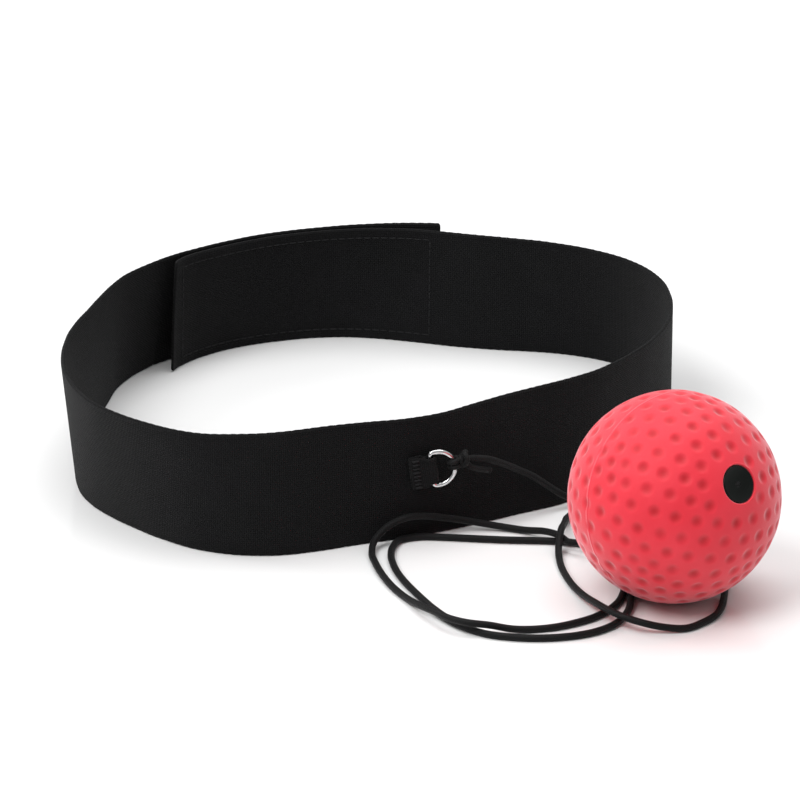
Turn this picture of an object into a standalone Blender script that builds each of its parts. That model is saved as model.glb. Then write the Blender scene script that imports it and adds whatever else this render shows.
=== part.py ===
"""Reflex ball headband: a hook-and-loop head strap, a ring in a sewn tab, an elastic cord and a ball."""
import math

import bmesh
import bpy
import numpy as np
from mathutils import Matrix, Vector

MM = 0.001

# Strap (webbing) and its closure, metres
BAND_HEIGHT = 0.038
WEB = 0.0013
TAPE = 0.0007
SEWN_GAP = 0.0002
TAPE_GAP = 0.0003
LAYER_STEP = WEB + 2.0 * TAPE + 2.0 * SEWN_GAP + TAPE_GAP
END_CURL = 0.0020
END_CURL_LENGTH = 0.014
FOOT_CURL = 0.0032
FOOT_CURL_LENGTH = 0.060
EAR = 0.0010
EAR_LENGTH = 0.004
FLAP_LIFT_TOP = 0.0044
FLAP_LIFT_FOOT = 0.0009
FLAP_LIFT_LENGTH = 0.045
OVERLAP = 0.0964
PEEL_AT = 0.008
PEEL_GAP = 0.0005
HINGE_LIFT = 0.0001
STATION = 0.0065
CORNER = 0.0012
THREAD_RADIUS = 0.0002
THREAD_LIFT = WEB / 2.0 + 0.00015 + THREAD_RADIUS

# Ring, its tab and its bar
RING_CENTRE = Vector((0.0081, -0.0512, 0.0220))
RING_RADIUS = 0.0054
RING_CORNER = 0.0012
WIRE_RADIUS = 0.00075
BAR_OFFSET = 0.0018
FACE_ANGLE = math.radians(23.8)
TAB_TILT = math.radians(8.0)
RING_LIFT = math.radians(12.0)
TAB_WEB = 0.0009
TAB_HEIGHT = 0.0101
TAB_NECK = 0.0084
TAB_LENGTH = 0.0063
FOLD_RADIUS = WIRE_RADIUS + 0.00025 + TAB_WEB / 2.0

# Elastic cord and its knots
CORD_RADIUS = 0.00105
CORD_STEP = 0.0065
KNOT_RADIUS = 0.00075
TAIL_RADIUS = 0.00092
KNOT_AT = math.radians(8.0)

# Ball, its bore and the cup in its mouth
BALL_RADIUS = 0.031
BALL_CENTRE = Vector((0.0762, -0.0956, 0.0310))
BORE_AXIS = Vector((0.56, -0.715, 0.418)).normalized()
BORE_RADIUS = 0.0016
SEAT_RADIUS = 0.00565
SEAT_FLOOR = 0.0235
CUP_RADIUS = 0.00535
CUP_FLOOR = 0.0238
CUP_WALL = 0.0009
LID_BELOW = 0.0291
LID_WALL = 0.0006
LID_HOLE = 0.0007

# Strap plan, millimetres: foot x, foot y, top x, top y, clockwise from the inner end
PLAN = (
    (-81.7, 92.4, -76.8, 90.4),
    (-71.5, 102.4, -70.6, 96.6),
    (-61.2, 110.1, -60.2, 104.8),
    (-48.3, 116.1, -47.8, 112.6),
    (-35.6, 119.9, -35.1, 117.9),
    (-22.8, 121.3, -22.5, 121.1),
    (-10.7, 120.0, -10.0, 122.3),
    (2.0, 116.5, 2.6, 121.3),
    (15.0, 112.2, 15.0, 117.6),
    (30.0, 109.0, 30.0, 113.2),
    (43.1, 107.0, 43.0, 109.5),
    (56.2, 103.1, 55.6, 103.5),
    (66.3, 97.2, 65.8, 96.2),
    (74.5, 87.6, 74.0, 87.0),
    (80.0, 75.8, 80.0, 74.0),
    (82.5, 62.3, 82.4, 60.0),
    (82.4, 47.8, 82.5, 46.0),
    (80.0, 32.8, 80.3, 32.0),
    (74.5, 15.8, 74.6, 16.0),
    (66.3, -0.7, 66.0, 1.5),
    (56.8, -14.7, 56.3, -10.8),
    (45.5, -25.8, 45.2, -19.5),
    (33.0, -33.2, 33.0, -27.8),
    (21.0, -40.6, 21.0, -37.0),
    (9.0, -47.5, 9.0, -46.6),
    (-3.0, -52.8, -3.0, -51.8),
    (-15.0, -57.2, -15.0, -54.4),
    (-27.0, -62.3, -27.0, -58.0),
    (-39.0, -65.7, -39.0, -62.4),
    (-51.0, -65.5, -51.0, -63.8),
    (-63.0, -61.4, -63.0, -63.0),
    (-74.2, -52.8, -74.6, -57.0),
    (-84.0, -43.0, -86.0, -47.6),
    (-92.5, -32.5, -96.0, -35.8),
    (-99.2, -20.2, -103.0, -19.0),
    (-102.2, -6.7, -106.3, -2.0),
    (-102.3, 7.8, -106.5, 14.5),
    (-101.2, 23.8, -104.6, 29.5),
    (-99.7, 41.8, -100.5, 46.0),
    (-97.3, 58.3, -97.0, 59.2),
    (-94.6, 73.8, -92.6, 73.0),
    (-90.2, 84.8, -88.6, 80.7),
)

# Cord route from the ring knot to the ball, millimetres
LEAD_ROUTE = (
    (18.8, -47.6, 23.9), (21.6, -45.5, 23.1), (26.7, -41.7, 20.2), (31, -37.9, 16.9),
    (35.3, -35, 14), (39.6, -32.2, 10.3), (44, -29.9, 6.3), (48.3, -28.3, 3.3),
    (53, -27.2, 1.6), (59, -26.6, 1.1), (69, -27.9, 1.1), (80, -32.5, 1.1),
    (89, -41, 1.1), (95.5, -52, 1.1), (97, -65, 1.1), (95.6, -77.8, 1.1),
    (92.6, -88, 1.1), (91.2, -97, 1.1), (90.4, -104.1, 1.1), (87.8, -112.5, 1.1),
    (82.9, -118.6, 1.1), (76.9, -122.7, 1.2), (70.7, -122.8, 2.2), (64.7, -122.5, 3.5),
    (59.3, -118.5, 3.9), (54.5, -111.9, 3.9), (49.8, -99.6, 2.1), (46.5, -87.5, 1.1),
    (44.5, -76.6, 1.1), (44, -66.6, 1.9), (44.3, -61.8, 5.2), (44.9, -60.1, 5.9),
    (45.8, -53.9, 4.9), (46.8, -45.1, 2.8), (48.1, -38.2, 1.5), (51.5, -33.7, 1.1),
    (57, -30.9, 1.1), (63.5, -31.7, 1.1), (69, -36.7, 1.1), (73, -45, 1.1),
)
COIL_ROUTE = (
    (73, -45, 1.1), (75.3, -57, 1.1), (74.9, -69, 1.1), (71.7, -80, 1.1),
    (65.6, -89.3, 1.1), (64.0, -97, 1.1), (63.7, -104, 1.1), (62, -111.8, 1.1),
    (58.9, -118.4, 1.1), (54.1, -123.4, 1.1), (48.3, -126.6, 1.1), (42.5, -128.2, 1.1),
    (36.8, -128.8, 1.1), (31.1, -128.5, 1.1), (25.5, -127.3, 1.1), (19.8, -124.9, 1.1),
    (14.7, -120.2, 1.1), (10.5, -114.4, 1.1), (7.5, -109.4, 1.1), (4.9, -104, 1.1),
    (2.4, -98.2, 1.1), (-0.3, -91.6, 1.1), (-3.2, -83.1, 1.1), (-5.2, -73.5, 1.1),
    (-5.7, -66.3, 1.1), (-5.3, -62.7, 1.1), (-4.3, -58.6, 1.1), (-1.4, -54.8, 1.1),
    (2.4, -53.9, 1.1), (7, -53.9, 1.1), (13.4, -54.5, 1.1), (20.9, -55.4, 1.1),
    (26.8, -56, 1.1), (32.8, -56.6, 1.1), (38.8, -56.6, 1.1), (44.7, -57.6, 1.1),
    (50.2, -58.7, 1.1), (55.3, -61.7, 1.1), (59.7, -66.7, 1.1), (62.6, -73.5, 1.1),
    (63.7, -82.5, 1.1), (62.4, -91.5, 1.1), (61.2, -99.9, 1.1), (58.8, -105.9, 1.1),
    (55.5, -111.1, 1.1), (51.8, -114.9, 1.1), (47.7, -117.8, 1.1), (42.8, -120.5, 1.1),
    (37, -122.2, 1.1), (31.3, -122.9, 1.1), (26.3, -123.6, 2.1), (21, -124.1, 3.3),
    (16, -124.2, 3.9), (11.8, -121.7, 3.8), (8.2, -117, 3.6), (4.8, -112.1, 3),
    (1.4, -105.4, 1.8), (-2, -98.5, 1.1), (-5.6, -90.7, 1.1), (-9, -79.7, 1.1),
    (-10.9, -70.2, 1.1), (-11.4, -65, 1.4), (-10.8, -61.9, 2.6), (-9.6, -58.9, 3.5),
    (-7.3, -57.6, 5.4), (-4.6, -57.4, 7.2), (-1.4, -55.9, 8), (2.6, -53.8, 7.7),
    (7.8, -50.9, 6.3), (13.5, -47.9, 4.3), (18, -46.4, 3.1), (22.7, -46.5, 2.2),
    (27.9, -47, 1.5), (33, -48.4, 1.1), (38.3, -51.7, 2.2), (43.4, -56.6, 3.3),
    (46.6, -62.5, 3.2), (49.6, -64.9, 3.6), (52.8, -66.4, 5.6), (54.7, -67.9, 11),
    (56, -69.8, 16),
)


def clear_scene():
    for item in list(bpy.data.objects):
        bpy.data.objects.remove(item, do_unlink=True)


def make_collection(name):
    group = bpy.data.collections.new(name)
    bpy.context.scene.collection.children.link(group)
    return group


def make_material(name, colour, roughness, metallic=0.0):
    material = bpy.data.materials.new(name)
    material.use_nodes = True
    shader = material.node_tree.nodes["Principled BSDF"]
    shader.inputs["Base Color"].default_value = (*colour, 1.0)
    shader.inputs["Roughness"].default_value = roughness
    shader.inputs["Metallic"].default_value = metallic
    return material


def add_object(name, mesh, material, group, pivot=Vector((0.0, 0.0, 0.0))):
    mesh.name = name
    mesh.transform(Matrix.Translation(-pivot))
    item = bpy.data.objects.new(name, mesh)
    item.location = pivot
    mesh.materials.clear()
    mesh.materials.append(material)
    group.objects.link(item)
    return item


def smooth_path(points, fine=12):
    """Centripetal Catmull-Rom curve through the points, any number of columns."""
    points = np.asarray(points, dtype=float)
    ends = np.vstack([2.0 * points[0] - points[1], points, 2.0 * points[-1] - points[-2]])
    result = []
    for index in range(1, len(ends) - 2):
        before, start, end, after = ends[index - 1:index + 3]
        first = math.sqrt(np.linalg.norm(start - before))
        middle = math.sqrt(np.linalg.norm(end - start))
        last = math.sqrt(np.linalg.norm(after - end))
        leave = (start - before) / first - (end - before) / (first + middle) + (end - start) / middle
        arrive = (end - start) / middle - (after - start) / (middle + last) + (after - end) / last
        leave = leave * middle
        arrive = arrive * middle
        for part in range(fine):
            t = part / fine
            result.append(
                (2 * t ** 3 - 3 * t ** 2 + 1) * start + (t ** 3 - 2 * t ** 2 + t) * leave
                + (-2 * t ** 3 + 3 * t ** 2) * end + (t ** 3 - t ** 2) * arrive
            )
    result.append(points[-1])
    return np.array(result)


def path_lengths(points):
    steps = np.linalg.norm(np.diff(points, axis=0), axis=1)
    return np.concatenate([[0.0], np.cumsum(steps)])


def pick(points, lengths, where):
    return np.stack([np.interp(where, lengths, points[:, axis]) for axis in range(points.shape[1])], axis=1)


def even_path(points, step):
    """Points at even spacing along the smooth curve."""
    fine = smooth_path(points)
    lengths = path_lengths(fine)
    count = int(round(lengths[-1] / step))
    return pick(fine, lengths, np.linspace(0.0, lengths[-1], count + 1))


def unit(rows):
    return rows / np.linalg.norm(rows, axis=1)[:, None]


class Strap:
    """The strap's plan as foot and top lines with a shared outward direction."""

    def __init__(self):
        plan = np.array(PLAN) * MM
        first = smooth_path(plan[:4])
        outward = self.outward(first)
        start = first[0].copy()
        start[:2] += outward[0] * LAYER_STEP
        start[2:] += outward[0] * LAYER_STEP
        plan = np.vstack([plan, start])
        self.line = smooth_path(plan)
        middle = (self.line[:, :2] + self.line[:, 2:]) / 2.0
        self.lengths = path_lengths(middle)
        self.out = self.outward(self.line)
        self.total = self.lengths[-1]

    @staticmethod
    def outward(line):
        middle = (line[:, :2] + line[:, 2:]) / 2.0
        along = unit(np.gradient(middle, axis=0))
        return np.stack([-along[:, 1], along[:, 0]], axis=1)

    def place(self, where, share, offset):
        """A point at arc length, height share 0 to 1 and outward offset."""
        row = pick(self.line, self.lengths, np.array([where]))[0]
        out = pick(self.out, self.lengths, np.array([where]))[0]
        out = out / np.linalg.norm(out)
        flat = row[:2] * (1.0 - share) + row[2:] * share + out * offset
        return Vector((flat[0], flat[1], share * BAND_HEIGHT))


def inner_offset(where, share):
    """How far the inner end leans into the loop, most at its foot."""
    end = max(0.0, 1.0 - where / END_CURL_LENGTH)
    foot = max(0.0, 1.0 - where / FOOT_CURL_LENGTH)
    ear = max(0.0, 1.0 - where / EAR_LENGTH)
    return -(END_CURL * end ** 2 + FOOT_CURL * (1.0 - share) * foot ** 2 + EAR * (1.0 - share) ** 3 * ear ** 2)


def outer_offset(where, share):
    """Offset of the outer layer; its free end lifts, most at the top."""
    rest = max(0.0, 1.0 - (OVERLAP - where) / FLAP_LIFT_LENGTH)
    lift = FLAP_LIFT_FOOT * (1.0 - share) + FLAP_LIFT_TOP * share
    return LAYER_STEP + lift * rest * rest


def rounding(distance):
    """How much a rounded corner trims top and foot at a distance from the end."""
    if distance >= CORNER:
        return 0.0
    return CORNER - math.sqrt(CORNER ** 2 - (CORNER - distance) ** 2)


def strip_mesh(name, rows, thickness):
    """A closed strip: a grid bent onto rows of points, thickened both ways."""
    across = len(rows[0])
    mesh = bpy.data.meshes.new(name)
    work = bmesh.new()
    bmesh.ops.create_grid(work, x_segments=len(rows) - 1, y_segments=across - 1, size=0.5)
    work.verts.ensure_lookup_table()
    ordered = sorted(work.verts, key=lambda vert: (round(vert.co.x, 5), round(vert.co.y, 5)))
    for vert, point in zip(ordered, [point for row in rows for point in row]):
        vert.co = point
    work.to_mesh(mesh)
    work.free()
    helper = bpy.data.objects.new(name, mesh)
    bpy.context.scene.collection.objects.link(helper)
    solid = helper.modifiers.new("thickness", "SOLIDIFY")
    solid.thickness = thickness
    solid.offset = 0.0
    solid.use_even_offset = True
    view = bpy.context.evaluated_depsgraph_get()
    result = bpy.data.meshes.new_from_object(helper.evaluated_get(view))
    bpy.data.objects.remove(helper, do_unlink=True)
    for vert in result.vertices:
        vert.co.z = min(max(vert.co.z, 0.0), BAND_HEIGHT)
    turn_outward(result)
    return result


def turn_outward(mesh):
    work = bmesh.new()
    work.from_mesh(mesh)
    bmesh.ops.remove_doubles(work, verts=work.verts, dist=0.000005)
    bmesh.ops.recalc_face_normals(work, faces=work.faces)
    work.to_mesh(mesh)
    work.free()


def tube_mesh(name, points, radius, closed=False, resolution=2):
    """A round tube along points."""
    curve = bpy.data.curves.new(name, "CURVE")
    curve.dimensions = "3D"
    curve.bevel_depth = radius
    curve.bevel_resolution = resolution
    curve.use_fill_caps = not closed
    spline = curve.splines.new("POLY")
    spline.points.add(len(points) - 1)
    for target, point in zip(spline.points, points):
        target.co = (point[0], point[1], point[2], 1.0)
    spline.use_cyclic_u = closed
    helper = bpy.data.objects.new(name, curve)
    bpy.context.scene.collection.objects.link(helper)
    view = bpy.context.evaluated_depsgraph_get()
    mesh = bpy.data.meshes.new_from_object(helper.evaluated_get(view))
    bpy.data.objects.remove(helper, do_unlink=True)
    turn_outward(mesh)
    return mesh


def turned_mesh(name, profile, steps):
    """A closed profile of (radius, height) pairs turned about Z."""
    mesh = bpy.data.meshes.new(name)
    work = bmesh.new()
    verts = [work.verts.new((radius, 0.0, height)) for radius, height in profile]
    for index, vert in enumerate(verts):
        work.edges.new((vert, verts[(index + 1) % len(verts)]))
    work.to_mesh(mesh)
    work.free()
    helper = bpy.data.objects.new(name, mesh)
    bpy.context.scene.collection.objects.link(helper)
    turn = helper.modifiers.new("turn", "SCREW")
    turn.angle = 2.0 * math.pi
    turn.steps = steps
    turn.render_steps = steps
    turn.use_merge_vertices = True
    turn.merge_threshold = 0.00001
    view = bpy.context.evaluated_depsgraph_get()
    result = bpy.data.meshes.new_from_object(helper.evaluated_get(view))
    bpy.data.objects.remove(helper, do_unlink=True)
    turn_outward(result)
    return result


def stations(first, last, extra=()):
    """Shared arc lengths so that stacked layers have matching facets."""
    grid = [STATION * index for index in range(int(last / STATION) + 2)]
    inside = [value for value in grid if first + 0.0012 < value < last - 0.0012]
    wanted = [value for value in extra if first < value < last]
    kept = [value for value in inside if all(abs(value - other) > 0.0012 for other in wanted)]
    return sorted([first, last] + kept + wanted)


def end_steps(end, sign):
    return [end + sign * value for value in (0.0004, 0.0008, CORNER, 0.0025, 0.0040)]


def band_rows(strap):
    """The webbing from its inner end round to the peel line."""
    rows = []
    for where in stations(0.0, strap.total - 0.002, end_steps(0.0, 1.0) + [PEEL_AT, OVERLAP]):
        trim = rounding(where) / BAND_HEIGHT
        rows.append([strap.place(where, share, inner_offset(where, share)) for share in (trim, 0.5, 1.0 - trim)])
    for where in sorted({0.0, 0.0022, 0.0045, PEEL_AT}):
        rows.append([strap.place(where, share, outer_offset(where, share)) for share in (0.0, 0.5, 1.0)])
    return rows


def flap_rows(strap, gap):
    rows = []
    for where in stations(PEEL_AT + gap, OVERLAP, end_steps(OVERLAP, -1.0)):
        trim = rounding(OVERLAP - where) / BAND_HEIGHT
        shares = (trim, 0.5, 1.0 - trim)
        rows.append([strap.place(where, share, outer_offset(where, share)) for share in shares])
    return rows


def tape_rows(strap, first, last, offset_of, edge):
    low = edge / BAND_HEIGHT
    rows = []
    for where in stations(first, last):
        shares = (low, 0.5, 1.0 - low)
        rows.append([strap.place(where, share, offset_of(where, share)) for share in shares])
    return rows


def seam_loop(strap, first, last, edge, offset_of):
    """A closed row of thread round a sewn rectangle."""
    low = edge / BAND_HEIGHT
    along = stations(first, last)
    foot = [strap.place(where, low, offset_of(where, low)) for where in along]
    top = [strap.place(where, 1.0 - low, offset_of(where, 1.0 - low)) for where in along]
    rise = [strap.place(last, share, offset_of(last, share)) for share in (0.35, 0.65)]
    fall = [strap.place(first, share, offset_of(first, share)) for share in (0.65, 0.35)]
    return foot + rise + top[::-1] + fall


def ring_frame():
    """Tab directions, bar centre and ring directions."""
    face = Vector((math.cos(FACE_ANGLE), math.sin(FACE_ANGLE), 0.0))
    out = Vector((math.sin(FACE_ANGLE), -math.cos(FACE_ANGLE), 0.0))
    up = Vector((0.0, 0.0, 1.0))
    tab_along = face * math.cos(TAB_TILT) + up * math.sin(TAB_TILT)
    bar = up * math.cos(TAB_TILT) - face * math.sin(TAB_TILT)
    ring_along = tab_along * math.cos(RING_LIFT) + out * math.sin(RING_LIFT)
    ring_out = out * math.cos(RING_LIFT) - tab_along * math.sin(RING_LIFT)
    bar_centre = RING_CENTRE - ring_along * BAR_OFFSET
    return tab_along, bar, out, ring_along, ring_out, bar_centre


def ring_points():
    """Straight bar and round bow of the ring."""
    _, bar, _, along, _, _ = ring_frame()
    flat = []
    for index in range(21):
        angle = math.radians(-90.0 + 9.0 * index)
        flat.append((RING_RADIUS * math.cos(angle), RING_RADIUS * math.sin(angle)))
    inset = RING_RADIUS - RING_CORNER
    for side in (1.0, -1.0):
        for index in range(5):
            turn = math.radians(90.0 + 22.5 * index) if side > 0 else math.radians(180.0 + 22.5 * index)
            reach = -BAR_OFFSET + RING_CORNER + RING_CORNER * math.cos(turn)
            flat.append((reach, side * inset + RING_CORNER * math.sin(turn)))
    return [RING_CENTRE + along * reach + bar * rise for reach, rise in flat]


def tab_level(reach):
    """Height of the tab's front layer at a distance from the bar."""
    thin = TAB_WEB / 2.0 + 0.00012
    share = reach / TAB_LENGTH
    blend = share * share * (3.0 - 2.0 * share)
    return FOLD_RADIUS * (1.0 - blend) + (2.0 * thin - FOLD_RADIUS) * blend


def tab_rows():
    """Webbing folded round the bar, its two ends brought together."""
    along, bar, out, _, _, centre = ring_frame()
    profile = []
    reaches = (0.0, 0.0011, 0.0023, 0.0038, 0.0056, TAB_LENGTH)
    for reach in reaches[::-1]:
        profile.append((-reach, -FOLD_RADIUS))
    for index in range(1, 9):
        angle = -math.pi / 2.0 + math.pi * index / 8
        profile.append((FOLD_RADIUS * math.cos(angle), FOLD_RADIUS * math.sin(angle)))
    for reach in reaches[1:]:
        level = tab_level(reach)
        profile.append((-reach, level))
    rows = []
    for reach, level in profile:
        flat = centre + along * reach + out * level
        narrow = min(1.0, max(0.0, (reach + 0.0023) / 0.0010))
        height = TAB_HEIGHT * (1.0 - narrow) + TAB_NECK * narrow
        rows.append([flat + bar * (height * share) for share in (-0.5, 0.0, 0.5)])
    return rows


def tack_points():
    """Zigzag bar tack across the tab's sewn end."""
    along, bar, out, _, _, centre = ring_frame()
    points = []
    for index in range(12):
        odd = index % 2
        reach = -TAB_LENGTH + (0.0016 if odd else 0.0004)
        level = tab_level(-reach) + TAB_WEB / 2.0 + THREAD_RADIUS + 0.00018
        rise = -0.0045 + 0.009 * (index // 2 + 0.35 * odd) / 5.35
        points.append(centre + along * reach + out * level + bar * rise)
    return points


def ring_knot_parts():
    """Eye round the wire, wrapped turns, tail and the standing cord's stub."""
    _, bar, _, along, out, _ = ring_frame()
    radial = along * math.cos(KNOT_AT) + bar * math.sin(KNOT_AT)
    across = bar * math.cos(KNOT_AT) - along * math.sin(KNOT_AT)
    wire = RING_CENTRE + radial * RING_RADIUS
    reach = WIRE_RADIUS + 0.00028 + KNOT_RADIUS
    eye = [wire + radial * 0.0028 + out * 0.0004 - across * 0.0001]
    for index in range(13):
        angle = math.radians(38.0) + math.radians(284.0) * index / 12
        slide = across * (-0.0001 + 0.0002 * index / 12)
        eye.append(wire + radial * reach * math.cos(angle) + out * reach * math.sin(angle) + slide)
    eye.append(wire + radial * 0.0028 - out * 0.0004 + across * 0.0001)
    core = wire + radial * 0.0029
    wraps = []
    for index in range(31):
        turn = 2.0 * math.pi * 2.1 * index / 30
        level = -0.00085 + 0.0017 * index / 30
        wraps.append(core + radial * level + (across * math.cos(turn) + out * math.sin(turn)) * 0.00115)
    lead = Vector(LEAD_ROUTE[0]) * MM
    ahead = (Vector(LEAD_ROUTE[1]) * MM - lead).normalized()
    stub = [core, core * 0.45 + lead * 0.55, lead - ahead * 0.0008]
    tail = [core, core + Vector((0.0018, 0.0003, -0.0022)), core + Vector((0.0046, 0.0022, -0.0039)),
            core + Vector((0.0079, 0.0049, -0.0053))]
    return eye, wraps, stub, tail, core


def union(base, others):
    """One closed body from overlapping closed bodies."""
    for other in others:
        tool = bpy.data.objects.new("tool", other)
        bpy.context.scene.collection.objects.link(tool)
        holder = bpy.data.objects.new("holder", base)
        bpy.context.scene.collection.objects.link(holder)
        join = holder.modifiers.new("join", "BOOLEAN")
        join.operation = "UNION"
        join.solver = "EXACT"
        join.use_self = True
        join.object = tool
        view = bpy.context.evaluated_depsgraph_get()
        base = bpy.data.meshes.new_from_object(holder.evaluated_get(view))
        bpy.data.objects.remove(holder, do_unlink=True)
        bpy.data.objects.remove(tool, do_unlink=True)
    return base


def round_mesh(name, centre, radius):
    mesh = bpy.data.meshes.new(name)
    work = bmesh.new()
    bmesh.ops.create_icosphere(work, subdivisions=2, radius=radius)
    bmesh.ops.translate(work, verts=work.verts, vec=centre)
    work.to_mesh(mesh)
    work.free()
    return mesh


def ball_profile():
    """Sphere with a cord bore and a wider seat for the cup at its mouth."""
    start = math.asin(SEAT_RADIUS / BALL_RADIUS)
    end = math.pi - math.asin((BORE_RADIUS + 0.0008) / BALL_RADIUS)
    profile = []
    for index in range(31):
        angle = start + (end - start) * index / 30
        profile.append((BALL_RADIUS * math.sin(angle), BALL_RADIUS * math.cos(angle)))
    foot = profile[-1][1]
    profile += [(BORE_RADIUS, foot + 0.0008), (BORE_RADIUS, 0.0), (BORE_RADIUS, SEAT_FLOOR)]
    profile += [(SEAT_RADIUS, SEAT_FLOOR), (SEAT_RADIUS, 0.027)]
    return profile


def cup_profile():
    """Plastic cup flush with the ball, closed by a dished lid with a small hole."""
    rim = 0.0303
    inner = CUP_RADIUS - CUP_WALL
    lid = LID_BELOW + LID_WALL
    profile = [(CUP_RADIUS - 0.0003, rim), (CUP_RADIUS, rim - 0.0003), (CUP_RADIUS, CUP_FLOOR)]
    profile += [(BORE_RADIUS, CUP_FLOOR), (BORE_RADIUS, CUP_FLOOR + CUP_WALL), (inner, CUP_FLOOR + CUP_WALL)]
    profile += [(inner, LID_BELOW), (LID_HOLE, LID_BELOW), (LID_HOLE, lid)]
    profile += [(inner * 0.5, lid + 0.00006), (inner * 0.8, lid + 0.00022), (inner, lid + 0.00042)]
    return profile


def along_bore(mesh):
    """Stand a turned mesh on the bore axis at the ball's centre."""
    mesh.transform(BORE_AXIS.to_track_quat("Z", "Y").to_matrix().to_4x4())
    mesh.transform(Matrix.Translation(BALL_CENTRE))
    return mesh


def stop_knot_mesh():
    """Wound stopper knot in the cup."""
    turn = BORE_AXIS.to_track_quat("Z", "Y")
    middle = 0.0272
    wraps = []
    for index in range(37):
        angle = 2.0 * math.pi * 2.4 * index / 36
        level = middle - 0.0009 + 0.0018 * index / 36
        local = Vector((0.00165 * math.cos(angle), 0.00165 * math.sin(angle), level))
        wraps.append(BALL_CENTRE + turn @ local)
    body = tube_mesh("wraps", wraps, 0.00085)
    heart = round_mesh("heart", BALL_CENTRE + turn @ Vector((0.0, 0.0, middle + 0.0001)), 0.00165)
    return union(heart, [body])


def cord_points(route, tail_in=False):
    points = [tuple(value * MM for value in point) for point in route]
    if tail_in:
        entry = BALL_CENTRE - BORE_AXIS * BALL_RADIUS
        for step in (0.0005, 0.008, 0.016):
            points.append(tuple(entry + BORE_AXIS * step))
    path = even_path(points, CORD_STEP)
    path[:, 2] = np.maximum(path[:, 2], CORD_RADIUS + 0.00002)
    if tail_in:
        steps = [tuple(BALL_CENTRE + BORE_AXIS * value) for value in (0.0, 0.013, 0.0245)]
        path = np.vstack([path, np.array(steps)])
    return path


def build():
    clear_scene()
    group = make_collection("reflex_ball_headband")
    web = make_material("black_webbing", (0.012, 0.012, 0.013), 0.85)
    hook = make_material("hook_and_loop", (0.018, 0.018, 0.02), 0.95)
    sewing = make_material("black_thread", (0.02, 0.02, 0.022), 0.6)
    metal = make_material("nickel_wire", (0.72, 0.72, 0.74), 0.18, 1.0)
    elastic = make_material("black_cord", (0.01, 0.01, 0.011), 0.5)
    foam = make_material("coral_foam", (0.80, 0.07, 0.10), 0.55)
    plastic = make_material("black_plastic", (0.015, 0.017, 0.016), 0.35)

    strap = Strap()
    hinge = strap.place(PEEL_AT, 0.5, LAYER_STEP + WEB / 2.0 + HINGE_LIFT)
    add_object("strap_band", strip_mesh("band", band_rows(strap), WEB), web, group)
    flap = strip_mesh("flap", flap_rows(strap, PEEL_GAP), WEB)
    add_object("strap_flap", flap, web, group, hinge)

    tape_off = WEB / 2.0 + SEWN_GAP + TAPE / 2.0
    loop_rows = tape_rows(strap, 0.013, 0.096, lambda s, v: inner_offset(s, v) + tape_off, 0.0015)
    add_object("loop_tape", strip_mesh("loop_tape", loop_rows, TAPE), hook, group)
    hook_rows = tape_rows(strap, 0.018, 0.091, lambda s, v: outer_offset(s, v) - tape_off, 0.0025)
    add_object("hook_tape", strip_mesh("hook_tape", hook_rows, TAPE), hook, group, hinge)
    seam = seam_loop(strap, 0.005, 0.0955, 0.0032, lambda s, v: inner_offset(s, v) - THREAD_LIFT)
    add_object("inner_seam", tube_mesh("inner_seam", seam, THREAD_RADIUS, True, 1), sewing, group)
    seam = seam_loop(strap, 0.0195, 0.0895, 0.0038, lambda s, v: outer_offset(s, v) + THREAD_LIFT)
    add_object("outer_seam", tube_mesh("outer_seam", seam, THREAD_RADIUS, True, 1), sewing, group, hinge)

    bar_centre = ring_frame()[5]
    add_object("ring_tab", strip_mesh("ring_tab", tab_rows(), TAB_WEB), web, group)
    add_object("tab_tack", tube_mesh("tab_tack", tack_points(), THREAD_RADIUS, False, 1), sewing, group)
    ring = tube_mesh("d_ring", ring_points(), WIRE_RADIUS, True, 2)
    add_object("d_ring", ring, metal, group, bar_centre)
    eye, wraps, stub, tail, core = ring_knot_parts()
    knot = union(round_mesh("heart", core, 0.00135), [
        tube_mesh("wraps", wraps, KNOT_RADIUS),
        tube_mesh("eye", eye, KNOT_RADIUS),
        tube_mesh("stub", stub, 0.00085),
        tube_mesh("tail", tail, TAIL_RADIUS),
    ])
    add_object("ring_knot", knot, elastic, group, bar_centre)

    lead = cord_points(LEAD_ROUTE)
    coil = cord_points(COIL_ROUTE, True)
    away = coil[1] - coil[0]
    coil[0] = coil[0] + away / np.linalg.norm(away) * 0.0003
    add_object("cord_lead", tube_mesh("cord_lead", lead, CORD_RADIUS), elastic, group)
    add_object("cord_coils", tube_mesh("cord_coils", coil, CORD_RADIUS), elastic, group)

    add_object("ball", along_bore(turned_mesh("ball", ball_profile(), 48)), foam, group, BALL_CENTRE)
    add_object("bore_cup", along_bore(turned_mesh("cup", cup_profile(), 32)), plastic, group, BALL_CENTRE)
    add_object("stop_knot", stop_knot_mesh(), elastic, group, BALL_CENTRE)


build()
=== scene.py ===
"""Reflex ball headband: the look of every piece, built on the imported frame."""
import math

import bmesh
import bpy
import numpy as np
from mathutils import Matrix, Vector


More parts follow.
